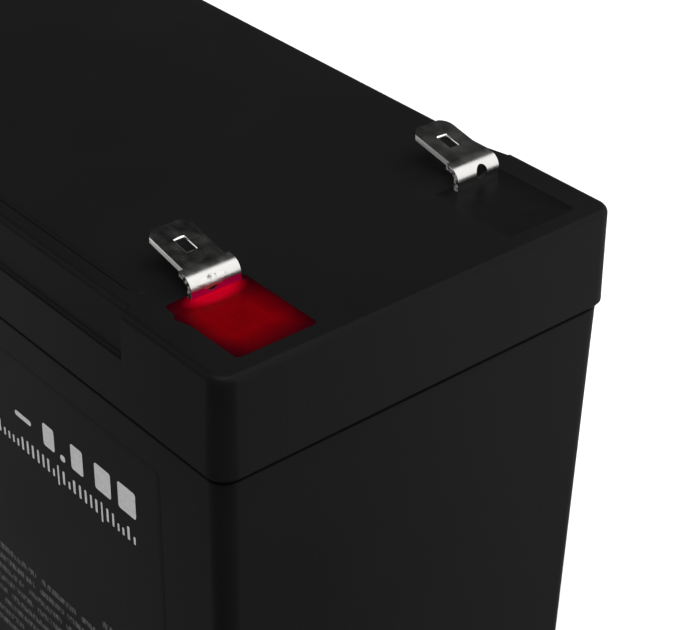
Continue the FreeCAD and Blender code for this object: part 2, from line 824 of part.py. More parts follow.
def make_battery(doc):
    nodes = [make_container(doc), make_lid(doc), make_bond(doc), make_vent_cover(doc)]
    nodes += [make_valve_cap(doc, index) for index in range(1, LAST_CELL + 1)]
    for polarity, row in (("positive", -1), ("negative", 1)):
        terminal = make_terminal(doc, polarity, row)
        post = make_post(doc, polarity, row)
        nodes += [terminal, post, make_o_ring(doc, polarity, row),
                  make_potting(doc, polarity, row, terminal, post)]
    for index in range(1, LAST_CELL + 1):
        nodes += [make_plate_group(doc, "positive", index),
                  make_plate_group(doc, "negative", index), make_separators(doc, index)]
    nodes += [make_weld(doc, index) for index in range(1, LAST_CELL)]
    nodes.append(make_label(doc))
    return nodes


def check_document(doc, nodes):
    failed = [thing.Name for thing in doc.Objects
              if "Invalid" in thing.State or "Error" in thing.State]
    if failed:
        raise RuntimeError("failed: " + ", ".join(failed))
    for node in nodes:
        if node.Shape.isNull() or not node.Shape.isValid() or not node.Shape.Solids:
            raise RuntimeError("no valid solid in " + node.Label)


def main():
    doc = FreeCAD.newDocument("Battery")
    make_sheet(doc)
    nodes = make_battery(doc)
    doc.recompute()
    check_document(doc, nodes)
    os.makedirs("parts", exist_ok=True)
    for node in nodes:
        node.Shape.exportStep(f"parts/{node.Label}.step")
        print(f"{node.Label}: {len(node.Shape.Solids)} solid(s), {node.Shape.Volume:.1f} mm3")


main()
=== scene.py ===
import json
from math import atan2, cos, exp, hypot, pi, radians, sin, tau

import bmesh
import bpy
from mathutils import Matrix, Vector, noise


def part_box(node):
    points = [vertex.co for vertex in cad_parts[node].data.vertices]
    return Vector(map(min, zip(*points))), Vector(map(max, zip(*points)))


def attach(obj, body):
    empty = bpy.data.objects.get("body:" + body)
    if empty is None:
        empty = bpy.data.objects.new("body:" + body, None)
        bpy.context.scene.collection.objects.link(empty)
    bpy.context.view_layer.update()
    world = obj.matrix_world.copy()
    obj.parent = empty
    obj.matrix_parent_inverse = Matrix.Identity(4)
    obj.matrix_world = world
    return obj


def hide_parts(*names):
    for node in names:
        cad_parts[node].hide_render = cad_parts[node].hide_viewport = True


# Sealed lead acid battery, dressed round its CAD frame. Lengths are in metres.

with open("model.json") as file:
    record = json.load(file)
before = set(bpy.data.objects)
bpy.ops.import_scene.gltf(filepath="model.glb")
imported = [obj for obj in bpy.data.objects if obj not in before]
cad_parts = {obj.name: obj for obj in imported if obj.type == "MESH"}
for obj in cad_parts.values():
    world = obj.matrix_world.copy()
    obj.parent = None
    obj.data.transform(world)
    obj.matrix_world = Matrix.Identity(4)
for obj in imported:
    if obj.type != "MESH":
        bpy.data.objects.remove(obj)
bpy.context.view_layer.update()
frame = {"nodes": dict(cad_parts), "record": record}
record = frame["record"]
nodes = frame["nodes"]


def box_of(node):
    low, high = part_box(node)
    return Vector(low), Vector(high)


MM = 0.001
WELD = 0.002 * MM
COLORS = {m["slot"]: m["base_color"] for m in record["materials"]}

# The lid: the level of its deck and of the ledge under the recess in each long side, the X of
# the recess's ends, and a Y that only the recess and the outer faces lie beyond
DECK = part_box("lid")[1][2]
STEP = DECK - 6.6 * MM
RECESS_END = 56.35 * MM
LONG_SIDE = 28 * MM

# A terminal: the upper bend's axis lies AXIS_REACH from the tab's tip and at the height BEND.
# The eye's middle is at the height EYE, EYE_SHIFT further out than the strip's.
TILT = radians(11.5)
BEND = DECK + 1.15 * MM
BEND_RADIUS = 1.75 * MM
AXIS_REACH = 8.8 * MM * cos(TILT) - 1.375 * MM * sin(TILT)
LEG_FACES = 9.36 * MM, 10.11 * MM
EYE = DECK + 1.45 * MM
EYE_SHIFT = 0.6 * MM
EYE_REACH = 1.05 * MM

# The label's tilted face, which the film stands proud of by FILM_PROUD
LABEL_LOW, LABEL_HIGH = box_of("side_label")
FILM_DEPTH = 0.15 * MM
FILM_PROUD = 0.06 * MM
LABEL_SLOPE = (LABEL_HIGH.y - LABEL_LOW.y - FILM_DEPTH) / (LABEL_HIGH.z - LABEL_LOW.z)


# Node materials

def new_material(name):
    material = bpy.data.materials.new(name)
    material.use_nodes = True
    tree = material.node_tree
    shader = next(n for n in tree.nodes if n.type == "BSDF_PRINCIPLED")
    return material, tree, shader


def coordinates(tree, stretch=(1, 1, 1)):
    place = tree.nodes.new("ShaderNodeTexCoord")
    mapping = tree.nodes.new("ShaderNodeMapping")
    mapping.inputs["Scale"].default_value = stretch
    tree.links.new(place.outputs["Object"], mapping.inputs["Vector"])
    return mapping.outputs["Vector"]


def separated(tree, vector):
    split = tree.nodes.new("ShaderNodeSeparateXYZ")
    tree.links.new(vector, split.inputs["Vector"])
    return split.outputs


def noise_value(tree, vector, scale, detail=2.0, roughness=0.5):
    texture = tree.nodes.new("ShaderNodeTexNoise")
    texture.inputs["Scale"].default_value = scale
    texture.inputs["Detail"].default_value = detail
    texture.inputs["Roughness"].default_value = roughness
    tree.links.new(vector, texture.inputs["Vector"])
    return texture.outputs["Fac"]


def ramp(tree, value, low, high, start=0.3, end=0.7):
    """A colour that runs from low to high while value runs from start to end."""
    node = tree.nodes.new("ShaderNodeValToRGB")
    node.color_ramp.elements[0].position = start
    node.color_ramp.elements[1].position = end
    node.color_ramp.elements[0].color = (*low, 1)
    node.color_ramp.elements[1].color = (*high, 1)
    tree.links.new(value, node.inputs["Fac"])
    return node.outputs["Color"]


def spread(tree, value, low, high, start=0.3, end=0.7):
    """A number that runs from low to high while value runs from start to end."""
    node = tree.nodes.new("ShaderNodeMapRange")
    for name, number in (("From Min", start), ("From Max", end), ("To Min", low), ("To Max", high)):
        node.inputs[name].default_value = number
    tree.links.new(value, node.inputs["Value"])
    return node.outputs["Result"]


def combined(tree, operation, first, second):
    node = tree.nodes.new("ShaderNodeMath")
    node.operation = operation
    for number, value in enumerate((first, second)):
        tree.links.new(value, node.inputs[number])
    return node.outputs[0]


def mixed(tree, factor, tone, color):
    """The tone where factor is 0, and the plain color where it is 1."""
    mix = tree.nodes.new("ShaderNodeMix")
    mix.data_type = "RGBA"
    tree.links.new(factor, mix.inputs["Factor"])
    tree.links.new(tone, mix.inputs["A"])
    mix.inputs["B"].default_value = (*color, 1)
    return mix.outputs["Result"]


def add_bump(tree, shader, height, depth):
    bump = tree.nodes.new("ShaderNodeBump")
    bump.inputs["Distance"].default_value = depth
    bump.inputs["Strength"].default_value = 1.0
    tree.links.new(height, bump.inputs["Height"])
    earlier = shader.inputs["Normal"].links
    if earlier:
        tree.links.new(earlier[0].from_socket, bump.inputs["Normal"])
    tree.links.new(bump.outputs["Normal"], shader.inputs["Normal"])


def scaled(color, factor):
    return tuple(c * factor for c in color)


def dust(tree, place, tone, number=110.0, share=0.14, size=0.011):
    """Puts a light speck of dust into a few of the cells that divide the surface."""
    cells = tree.nodes.new("ShaderNodeTexVoronoi")
    cells.inputs["Scale"].default_value = number
    tree.links.new(place, cells.inputs["Vector"])
    speck = spread(tree, cells.outputs["Distance"], 1.0, 0.0, size, size * 1.6)
    split = tree.nodes.new("ShaderNodeSeparateColor")
    tree.links.new(cells.outputs["Color"], split.inputs["Color"])
    chosen = spread(tree, split.outputs["Red"], 1.0, 0.0, share, share + 0.01)
    return mixed(tree, combined(tree, "MULTIPLY", speck, chosen), tone, (0.12, 0.12, 0.12))


def grained(name, color, roughness, specular, grain=3500.0, depth=0.00002, contrast=0.12,
            dusty=False, metallic=0.0):
    """Plastic, rubber, lead, paste or rough tin: a fine grain over a faint cloud of tone."""
    material, tree, shader = new_material(name)
    place = coordinates(tree)
    cloud = noise_value(tree, place, 45.0, 3.0)
    fine = noise_value(tree, place, grain, 3.0, 0.6)
    tone = ramp(tree, cloud, scaled(color, 1 - contrast), scaled(color, 1 + contrast))
    if dusty:
        tone = dust(tree, place, tone)
    tree.links.new(tone, shader.inputs["Base Color"])
    tree.links.new(spread(tree, cloud, roughness - 0.04, roughness + 0.05),
                   shader.inputs["Roughness"])
    shader.inputs["Specular IOR Level"].default_value = specular
    shader.inputs["Metallic"].default_value = metallic
    add_bump(tree, shader, fine, depth)
    return material


def plated(name, color):
    """Bright tin on stamped strip: fine rolling lines, small spots and a few soft stains. It
    turns darker and duller along X, where the bend has strained it."""
    bend_start, dark_from, dull_from = 57.2 * MM, 57.9 * MM, 58.2 * MM
    material, tree, shader = new_material(name)
    shader.inputs["Metallic"].default_value = 1.0
    place = coordinates(tree)
    lines = noise_value(tree, coordinates(tree, (60, 5000, 60)), 1.0, 3.0, 0.6)
    spots = noise_value(tree, place, 2600.0, 4.0, 0.65)
    stains = noise_value(tree, place, 520.0, 3.0)
    mottle = ramp(tree, stains, scaled(color, 0.86), color, 0.3, 0.62)
    x = separated(tree, place)["X"]
    strained = spread(tree, x, 0.0, 1.0, bend_start, dark_from)
    tree.links.new(mixed(tree, strained, mottle, scaled(color, 0.5)), shader.inputs["Base Color"])
    satin = spread(tree, x, 0.0, 0.13, bend_start, dull_from)
    tree.links.new(combined(tree, "ADD", spread(tree, stains, 0.22, 0.12), satin),
                   shader.inputs["Roughness"])
    add_bump(tree, shader, lines, 0.000003)
    add_bump(tree, shader, spots, 0.000006)
    return material


def mottled(name, dark, light, size, metallic, start):
    """Tin that is strained by a bend or soldered over: dark, with bright grains."""
    material, tree, shader = new_material(name)
    spots = noise_value(tree, coordinates(tree), size, 3.0, 0.6)
    tree.links.new(ramp(tree, spots, dark, light, start, start + 0.14),
                   shader.inputs["Base Color"])
    shader.inputs["Metallic"].default_value = metallic
    shader.inputs["Roughness"].default_value = 0.35
    return material


def epoxy(name, polarity, shade_at_walls, bright, foot, metallic, specular, roughness):
    """Cast epoxy with painted shade: its colour is darker near the walls of its well, painted
    shade from the walls, and brightest in the middle. Round the strip that stands in it, the
    colour foot is a painted reflection of the strip. A metallic share gives the red one
    reflections of its own colour."""
    low, high = box_of(polarity + "_potting")
    middle = (low + high) / 2
    material, tree, shader = new_material(name)
    place = coordinates(tree)
    position = separated(tree, place)
    # Painted shade: the colour darkens over a few millimetres towards each wall of the well.
    sides = []
    for axis, reach_low, reach_high in ((0, 5 * MM, 4.2 * MM), (1, 2.6 * MM, 3.4 * MM)):
        sides.append(spread(tree, position[axis], 0.2, 1.0, low[axis], low[axis] + reach_low))
        sides.append(spread(tree, position[axis], 1.0, 0.2, high[axis] - reach_high, high[axis]))
    depth = combined(tree, "MULTIPLY", combined(tree, "MULTIPLY", *sides[:2]),
                     combined(tree, "MULTIPLY", *sides[2:]))
    cloud = noise_value(tree, place, 260.0, 2.0)
    shade = combined(tree, "MULTIPLY", depth, spread(tree, cloud, 0.85, 1.15))
    # Painted reflection of the strip in the epoxy: the colour foot inside an ellipse round where
    # the strip stands.
    ellipse = tree.nodes.new("ShaderNodeMapping")
    ellipse.vector_type = "TEXTURE"
    ellipse.inputs["Location"].default_value = (low.x + 1.4 * MM, middle.y + 0.5 * MM, middle.z)
    ellipse.inputs["Scale"].default_value = (1.6 * MM, 4.2 * MM, 1)
    tree.links.new(place, ellipse.inputs["Vector"])
    distance = tree.nodes.new("ShaderNodeVectorMath")
    distance.operation = "LENGTH"
    tree.links.new(ellipse.outputs["Vector"], distance.inputs[0])
    painted_reflection_share = spread(tree, distance.outputs["Value"], 1.0, 0.0, 0.55, 1.15)
    tree.links.new(mixed(tree, painted_reflection_share, ramp(tree, shade, shade_at_walls, bright, 0.0, 1.0), foot),
                   shader.inputs["Base Color"])
    shader.inputs["Roughness"].default_value = roughness
    shader.inputs["Metallic"].default_value = metallic
    shader.inputs["Specular IOR Level"].default_value = specular
    shader.inputs["Specular Tint"].default_value = (*scaled(bright, 1 / max(bright)), 1)
    add_bump(tree, shader, noise_value(tree, place, 700.0, 2.0), 0.000008)
    return material


def printed(name, color):
    """Screen print with a faintly uneven film."""
    material, tree, shader = new_material(name)
    speck = noise_value(tree, coordinates(tree), 2500.0, 3.0)
    tree.links.new(ramp(tree, speck, scaled(color, 0.86), color, 0.3, 0.6),
                   shader.inputs["Base Color"])
    shader.inputs["Roughness"].default_value = 0.5
    shader.inputs["Specular IOR Level"].default_value = 0.1
    return material


def small_print(name, ground, color):
    """Print too small to read: ink broken up by fine upright gaps."""
    material, tree, shader = new_material(name)
    strokes = noise_value(tree, coordinates(tree, (1, 1, 0.28)), 2600.0, 2.0, 0.6)
    tree.links.new(ramp(tree, strokes, ground, color, 0.36, 0.66), shader.inputs["Base Color"])
    shader.inputs["Roughness"].default_value = 0.5
    shader.inputs["Specular IOR Level"].default_value = 0.02
    return material


def fibrous(name, color):
    """Glass mat: short crossed fibres."""
    material, tree, shader = new_material(name)
    fibres = noise_value(tree, coordinates(tree, (1, 6, 1)), 900.0, 6.0, 0.7)
    tree.links.new(ramp(tree, fibres, scaled(color, 0.75), color), shader.inputs["Base Color"])
    shader.inputs["Roughness"].default_value = 0.9
    add_bump(tree, shader, fibres, 0.00008)
    return material


# Meshes and pieces

def add_object(name, data):
    thing = bpy.data.objects.new(name, data)
    bpy.context.scene.collection.objects.link(thing)
    return thing


def show(name, mesh, material, replaced=()):
    """Adds the mesh as a piece of the visual model, in place of the CAD nodes replaced."""
    piece = add_object(name, mesh)
    mesh.materials.clear()
    mesh.materials.append(material)
    for face in mesh.polygons:
        face.material_index = 0
    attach(piece, "root")
    if replaced:
        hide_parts(*replaced)
    return piece


def new_mesh(name, verts, faces):
    mesh = bpy.data.meshes.new(name)
    mesh.from_pydata(verts, [], faces)
    return mesh


def stacked_faces(count, rings, base=0):
    """Faces between rings of count points each, then one on the last ring and one on the
    first."""
    faces = [(base + k * count + i, base + k * count + (i + 1) % count,
              base + (k + 1) * count + (i + 1) % count, base + (k + 1) * count + i)
             for k in range(rings - 1) for i in range(count)]
    faces.append([base + (rings - 1) * count + i for i in range(count)])
    faces.append([base + i for i in reversed(range(count))])
    return faces


def rounded_rectangle(left, right, bottom, top, radius, steps):
    """Points round a rectangle, with steps sides to each corner."""
    inner_left, inner_right = left + radius, right - radius
    inner_bottom, inner_top = bottom + radius, top - radius
    points = []
    for x, z, start in ((inner_right, inner_bottom, -pi / 2), (inner_right, inner_top, 0),
                        (inner_left, inner_top, pi / 2), (inner_left, inner_bottom, pi)):
        for step in range(steps + 1):
            angle = start + step * pi / (2 * steps)
            points.append((x + radius * cos(angle), z + radius * sin(angle)))
    return points


def cleaned(node):
    """A welded copy of a CAD node's mesh with whole flat faces, ready to bevel."""
    edit = bmesh.new()
    edit.from_mesh(nodes[node].data)
    bmesh.ops.remove_doubles(edit, verts=edit.verts, dist=WELD)
    bmesh.ops.dissolve_limit(edit, angle_limit=radians(0.4), verts=edit.verts,
                             edges=edit.edges, use_dissolve_boundaries=False)
    edit.normal_update()
    return edit


def bevel(edit, edges, width, segments):
    bmesh.ops.bevel(edit, geom=edges, offset=width, offset_type="OFFSET", segments=segments,
                    profile=0.5, affect="EDGES", clamp_overlap=True)


def bevel_sharp(edit, width, segments, keep=None):
    """Rounds every edge that turns by more than 28 degrees, except those to keep."""
    bevel(edit, [e for e in edit.edges if len(e.link_faces) == 2
                 and e.calc_face_angle(0) > radians(28) and not (keep and keep(e))],
          width, segments)


def smooth(mesh, angle=radians(30)):
    mesh.polygons.foreach_set("use_smooth", [True] * len(mesh.polygons))
    mesh.set_sharp_from_angle(angle=angle)


def finish_mesh(edit, node):
    """The edited skin as a mesh. Its elements are put in order, because bevels leave them in one
    that changes from run to run."""
    for elements, key in ((edit.verts, lambda vert: vert.co[:]),
                          (edit.edges, lambda edge: sorted(v.index for v in edge.verts)),
                          (edit.faces, lambda face: [v.index for v in face.verts])):
        order = {element: i for i, element in enumerate(sorted(elements, key=key))}
        elements.sort(key=order.get)
        elements.index_update()
    mesh = bpy.data.meshes.new(node + "_skin")
    edit.to_mesh(mesh)
    edit.free()
    smooth(mesh)
    return mesh


def even_shading(piece):
    """Lets the large flat faces keep their own shading right up to the eased edges."""
    weighted = piece.modifiers.new("flat faces", "WEIGHTED_NORMAL")
    weighted.keep_sharp = True
    weighted.weight = 50


def near(value, target, reach=0.03 * MM):
    return abs(abs(value) - target) < reach


# Case: container, lid, cover and label

def container_skin():
    """The container, with a rounder edge where it meets the glue line."""
    edit = cleaned("container")
    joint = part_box("lid_bond")[0][2]
    rim = [e for e in edit.edges if all(
        near(v.co.z, joint) and (abs(v.co.x) > 74 * MM or abs(v.co.y) > 31 * MM)
        for v in e.verts) and e.calc_face_angle(0) > radians(45)]
    bevel(edit, rim, 0.5 * MM, 4)
    bevel_sharp(edit, 0.15 * MM, 2)
    mesh = finish_mesh(edit, "container")
    even_shading(show("container_skin", mesh, plastic, ("container",)))


def lean_recess_ends(edit, slant, far_slant):
    """Slopes the end walls of the recesses: the deeper a point lies, the further it moves. The
    walls on the +Y side get far_slant."""
    below = 0.4 * MM
    for vert in edit.verts:
        x, y, z = vert.co
        if not near(x, RECESS_END) or z < STEP - 0.02 * MM:
            continue
        neighbours = [e.other_vert(vert).co for e in vert.link_edges]
        if not any(other.x * x < 0 and near(other.y, abs(y)) for other in neighbours):
            continue
        outer = max(abs(other.y) for other in [v.co for v in edit.verts if near(v.co.x, RECESS_END)]
                    if other.z > z - below and other.y * y > 0)
        vert.co.x -= ((far_slant if y > 0 else slant) * (outer - abs(y))
                      * (1 if x > 0 else -1))


def lid_skin():
    """The lid with eased edges. Its recesses get sloping ends and a hollow along the ledge, and
    its lower edge a taller chamfer. The edges of the openings in the deck stay crisp, because
    what fills them lies flush."""
    def length_on(edge, axis):
        return abs(edge.verts[0].co[axis] - edge.verts[1].co[axis])

    def at_recess_end(place):
        return (place.z > STEP - 0.02 * MM and abs(place.y) > LONG_SIDE
                and RECESS_END - 6 * MM < abs(place.x) < RECESS_END + 0.1 * MM)

    def at_opening(place):
        return near(place.z, DECK) and abs(place.x) < 73 * MM and abs(place.y) < 28.9 * MM

    edit = cleaned("lid")
    lean_recess_ends(edit, 0.4, 2.5)
    foot = [e for e in edit.edges if len(e.link_faces) == 2 and not e.is_convex
            and e.calc_face_angle(0) > radians(45)
            and all(near(v.co.z, STEP, 0.05 * MM) and abs(v.co.y) > LONG_SIDE for v in e.verts)
            and length_on(e, 0) > 20 * MM]
    bevel(edit, foot, 0.42 * MM, 4)
    ends = [e for e in edit.edges if e.calc_face_angle(0) > radians(20)
            and all(at_recess_end(v.co) for v in e.verts) and length_on(e, 2) > 0.3 * MM]
    bevel(edit, ends, 0.3 * MM, 3)
    joint = box_of("lid")[0].z
    hem = [e for e in edit.edges if all(near(v.co.z, joint) for v in e.verts)
           and 0.6 < e.calc_face_angle(0) < 0.9]
    chamfers = {f for e in hem for f in e.link_faces if -0.95 < f.normal.z < -0.3}
    for vert in {v for f in chamfers for v in f.verts if v.co.z > joint + 0.05 * MM}:
        vert.co.z += 0.2 * MM
    bevel_sharp(edit, 0.15 * MM, 2, keep=lambda e: all(at_opening(v.co) for v in e.verts))
    mesh = finish_mesh(edit, "lid")
    even_shading(show("lid_skin", mesh, plastic, ("lid",)))


def cover_skin():
    """The vent cover with eased edges. It closes the gap on its +X and +Y sides, where it loses
    its chamfer, and it tips down along X until it lies flush with the deck."""
    edit = cleaned("vent_cover")
    bevel_sharp(edit, 0.3 * MM, 3)
    mesh = finish_mesh(edit, "vent_cover")
    half = box_of("vent_cover")[1].xy
    top = max(v.co.z for v in mesh.vertices)
    chamfer_width, chamfer_depth = 0.75 * MM, 0.6 * MM
    side_width, gap = 2 * MM, (0.4 * MM, 0.5 * MM)
    top_depth, sink = 0.5 * MM, 0.19 * MM
    for vert in mesh.vertices:
        if (max(vert.co.x - half.x, vert.co.y - half.y) > -chamfer_width
                and vert.co.z > DECK - chamfer_depth):
            vert.co.z = top
        for axis in (0, 1):
            if vert.co[axis] > half[axis] - side_width:
                vert.co[axis] += gap[axis]
        if vert.co.z > DECK - top_depth:
            vert.co.z -= sink * (1 + vert.co.x / half.x) / 2
    smooth(mesh)
    even_shading(show("vent_cover_skin", mesh, panel_plastic, ("vent_cover",)))


def label_face(z):
    """Y of the CAD label's face at the height z."""
    return LABEL_LOW.y + FILM_DEPTH + LABEL_SLOPE * (LABEL_HIGH.z - z)


def label_skin():
    """The label film, with edges so eased that they hardly catch the light."""
    left, right = LABEL_LOW.x, LABEL_HIGH.x
    bottom, top = LABEL_LOW.z, LABEL_HIGH.z - 0.25 * MM
    corner, least_corner, steps = 1.0 * MM, 0.25 * MM, 6
    rings = ((0, -0.03 * MM), (0, 0.01 * MM), (0.25 * MM, 0.035 * MM), (0.6 * MM, 0.055 * MM),
             (1.0 * MM, FILM_PROUD))
    verts = []
    for inset, proud in rings:
        outline = rounded_rectangle(left + inset, right - inset, bottom + inset, top - inset,
                                    max(corner - inset, least_corner), steps)
        verts.extend((x, label_face(z) - proud, z) for x, z in outline)
    mesh = new_mesh("side_label_skin", verts, stacked_faces(len(outline), len(rings)))
    smooth(mesh, radians(60))
    even_shading(show("side_label_skin", mesh, film_black, ("side_label",)))


# Terminals and the epoxy round them

def strip_shading(mesh, axis_x):
    """Gives the rolled faces above the deck the normals of the true strip: level round the leg,
    turning about the bend's axis at axis_x, and square to the tab."""
    def true_normal(place, face_normal):
        turn = atan2(max(place.z - BEND, 0), max(place.x - axis_x, 0))
        if place.x < axis_x + BEND_RADIUS * sin(TILT):
            turn = pi / 2 - TILT
        turn = min(turn, pi / 2 - TILT)
        normal = Vector((cos(turn), 0, sin(turn)))
        return normal if normal.dot(face_normal) > 0 else -normal

    rolled = {}
    for face in mesh.polygons:
        if face.center.z < DECK - 1 * MM or face.center.x > axis_x + BEND_RADIUS + 0.05 * MM:
            continue
        if abs(true_normal(face.center, face.normal).dot(face.normal)) > 0.97:
            for number in face.vertices:
                normal = true_normal(mesh.vertices[number].co, face.normal)
                rolled.setdefault(number, normal)
    normals = [Vector()] * len(mesh.loops)
    for face in mesh.polygons:
        for loop in face.loop_indices:
            normal = rolled.get(mesh.loops[loop].vertex_index)
            if normal and normal.dot(face.normal) > 0.5:
                normals[loop] = normal
    mesh.normals_split_custom_set(normals)


def cut(edit, place, normal):
    bmesh.ops.bisect_plane(edit, geom=edit.verts[:] + edit.edges[:] + edit.faces[:],
                           plane_co=place, plane_no=normal, dist=WELD)


def terminal_skin(polarity):
    """The bent strip, with its cut edges in a rougher finish than its rolled faces. The slot's
    edges are rounder than the others, and the eye's stay crisp. Cuts across the strip give the
    eye's surroundings small faces, so that they shade evenly."""
    node = polarity + "_terminal"
    low, high = box_of(node)
    middle = (low.y + high.y) / 2
    eye_y = middle + (EYE_SHIFT if middle > 0 else -EYE_SHIFT)
    bend_from = low.x + AXIS_REACH
    slot_start, slot_end, slot_half = low.x + 1.5 * MM, low.x + 7.5 * MM, 2.2 * MM
    less_than_strip = 0.68 * MM
    eye_cuts = (-2.6 * MM, -1.15 * MM, 1.15 * MM, 2.6 * MM)
    tip_end, side_bend_from, leg_from = low.x + 0.3 * MM, low.x + 8.2 * MM, low.x + 9 * MM
    side_depth = 0.9 * MM

    def in_eye(place):
        return hypot(place.y - eye_y, place.z - EYE) < EYE_REACH

    edit = cleaned(node)
    slot = [e for e in edit.edges if e.calc_face_angle(0) > radians(60)
            and all(slot_start < v.co.x < slot_end and abs(v.co.y - middle) < slot_half
                    for v in e.verts)
            and abs(e.verts[0].co.z - e.verts[1].co.z) < less_than_strip]
    bevel(edit, slot, 0.17 * MM, 3)
    bevel_sharp(edit, 0.1 * MM, 2,
                keep=lambda e: all(v.co.x > bend_from and in_eye(v.co) for v in e.verts))
    for offset in eye_cuts:
        cut(edit, (0, eye_y + offset, 0), (0, 1, 0))
    cut(edit, (0, 0, BEND), (0, 0, 1))
    mesh = finish_mesh(edit, node)
    strip_shading(mesh, bend_from)
    show(node + "_skin", mesh, tin, (node,))

    cut_edge, bend_side, wall, reflecting_leg_face = range(1, 5)
    for extra in (cut_tin, bent_side, shaded_eye_wall, painted_leg_reflection[polarity]):
        mesh.materials.append(extra)
    for face in mesh.polygons:
        x, y, z = face.center
        # The eye's walls get the tin with painted shade.
        if x > leg_from and in_eye(face.center) and abs(face.normal.x) < 0.1:
            face.material_index = wall
        # The leg's outer face near the deck gets the painted reflection of the epoxy round it.
        elif DECK - 2 * MM < z < BEND and face.normal.x > 0.9:
            face.material_index = reflecting_leg_face
        elif min(y - low.y, high.y - y) < side_depth and abs(face.normal.y) > 0.5:
            face.material_index = bend_side if x > side_bend_from else cut_edge
        elif x < tip_end and abs(face.normal.z) < 0.6:
            face.material_index = cut_edge


def solder_fill(name, axis_x, middle, across, along):
    """A smear of solder over the eye, laid on the outside of the bend. across and along are its
    half sizes."""
    verts = []
    count, rings = 48, 15
    centre = 0.55 * MM
    for ring in range(rings):
        share = 1 - ring / rings
        for step in range(count):
            angle = tau * step / count
            edge = 1 + 0.22 * noise.noise(Vector((2.2 * cos(angle), 2.2 * sin(angle), 0.4)))
            y = middle + across * share * edge * cos(angle)
            s = centre + along * share * edge * sin(angle)
            ripple = noise.noise(Vector((y, s, 0)) / (0.5 * MM))
            rise = (-0.02 if ring == 0 else 0.035 * (1 - share ** 3) + 0.012 * ripple) * MM
            turn = max(s, 0) / BEND_RADIUS
            out = BEND_RADIUS + rise
            verts.append((axis_x + out * cos(turn), y, BEND + min(s, 0) + out * sin(turn)))
    mesh = new_mesh(name, verts, stacked_faces(count, rings))
    smooth(mesh, radians(70))
    show(name, mesh, solder)


def potting_skin(polarity, material, wetting):
    """Epoxy that fills a well. It stands a little proud at the walls and, by wetting, round the
    strip. The heights are in millimetres."""
    node = polarity + "_potting"
    low, high = box_of(node)
    leg_low, leg_high = box_of(polarity + "_terminal")
    leg_near, leg_far = (leg_low.x + face for face in LEG_FACES)
    middle = (low + high) / 2
    half = (high - low) / 2
    bedding = 0.02 * MM
    corner = 0.8 * MM
    wall_rise, wall_reach = 0.13, 3 * MM
    wetting_reach = 0.5 * MM
    ripple, ripple_size, calm_reach = 0.03, 2.5 * MM, 1.5 * MM
    columns, rows = 70, 60

    def place(i, j):
        x = (half.x + bedding) * (2 * i / columns - 1)
        y = (half.y + bedding) * (2 * j / rows - 1)
        past_x, past_y = abs(x) - half.x + corner, abs(y) - half.y + corner
        if past_x > 0 and past_y > 0:
            pull = max(past_x, past_y) / hypot(past_x, past_y)
            x = (half.x - corner + past_x * pull) * (1 if x > 0 else -1)
            y = (half.y - corner + past_y * pull) * (1 if y > 0 else -1)
        wall = min(half.x - abs(x), half.y - abs(y))
        x, y = middle.x + x, middle.y + y
        beside = max(leg_near - x, x - leg_far, 0)
        along = max(leg_low.y - y, y - leg_high.y, 0)
        rise = wall_rise * max(0, 1 - wall / wall_reach) ** 2
        rise += wetting * exp(-hypot(beside, along) / wetting_reach)
        rise += (ripple * noise.noise(Vector((x, y, 0)) / ripple_size)
                 * min(wall / calm_reach, 1))
        return x, y, high.z + rise * MM

    def number(i, j):
        return i * (rows + 1) + j

    verts = [place(i, j) for i in range(columns + 1) for j in range(rows + 1)]
    faces = [(number(i, j), number(i + 1, j), number(i + 1, j + 1), number(i, j + 1))
             for i in range(columns) for j in range(rows)]
    rim = ([number(i, 0) for i in range(columns)] + [number(columns, j) for j in range(rows)]
           + [number(i, rows) for i in range(columns, 0, -1)]
           + [number(0, j) for j in range(rows, 0, -1)])
    base, count = len(verts), len(rim)
    verts += [(verts[v][0], verts[v][1], low.z) for v in rim]
    faces += [(rim[i], base + i, base + (i + 1) % count, rim[(i + 1) % count])
              for i in range(count)]
    faces.append([base + i for i in reversed(range(count))])
    mesh = new_mesh(node + "_skin", verts, faces)
    smooth(mesh, radians(50))
    show(node + "_skin", mesh, material, (node,))


def centre_of(outline):
    return Vector((sum(x for x, _ in outline), sum(y for _, y in outline))) / len(outline)


def rounded_outline(points, steps=6):
    """A closed Catmull-Rom line through the points."""
    count = len(points)
    line = []
    for i in range(count):
        a, b, c, d = (Vector(points[(i + k) % count]) for k in (-1, 0, 1, 2))
        for step in range(steps):
            t = step / steps
            line.append(tuple(0.5 * (2 * b + (c - a) * t + (2 * a - 5 * b + 4 * c - d) * t * t
                                     + (3 * b - a - 3 * c + d) * t ** 3)))
    return line


def film(name, outline, height, material):
    """A thin domed film on the deck, from an outline of (x, y) points."""
    middle = centre_of(outline)
    rings = ((1.0, -0.02 * MM), (1.0, 0.01 * MM), (0.85, 0.7 * height), (0.5, height))
    verts = [(middle.x + (x - middle.x) * r, middle.y + (y - middle.y) * r, DECK + z)
             for r, z in rings for x, y in outline]
    mesh = new_mesh(name, verts, stacked_faces(len(outline), len(rings)))
    smooth(mesh, radians(60))
    show(name, mesh, material)


# Faint marks moulded into the deck

MARK_FOOT = DECK - 0.002 * MM


def add_bar(x, y, turn, height, verts, faces):
    """Adds a raised bar with a slightly smaller top to the lists."""
    half_length, half_width, ease = 2.1 * MM, 0.17 * MM, 0.12 * MM
    along = Vector((cos(turn), sin(turn)))
    across = Vector((-along.y, along.x))
    outline = [tuple(Vector((x, y)) + along * a * half_length + across * b * half_width)
               for a, b in ((-1, -1), (1, -1), (1, 1), (-1, 1))]
    middle = centre_of(outline)
    base = len(verts)
    for z, inset in ((MARK_FOOT, 0), (DECK + height, ease)):
        for corner in outline:
            out = Vector(corner) - middle
            out -= out.normalized() * inset
            verts.append((middle.x + out.x, middle.y + out.y, z))
    faces.extend(stacked_faces(len(outline), 2, base))


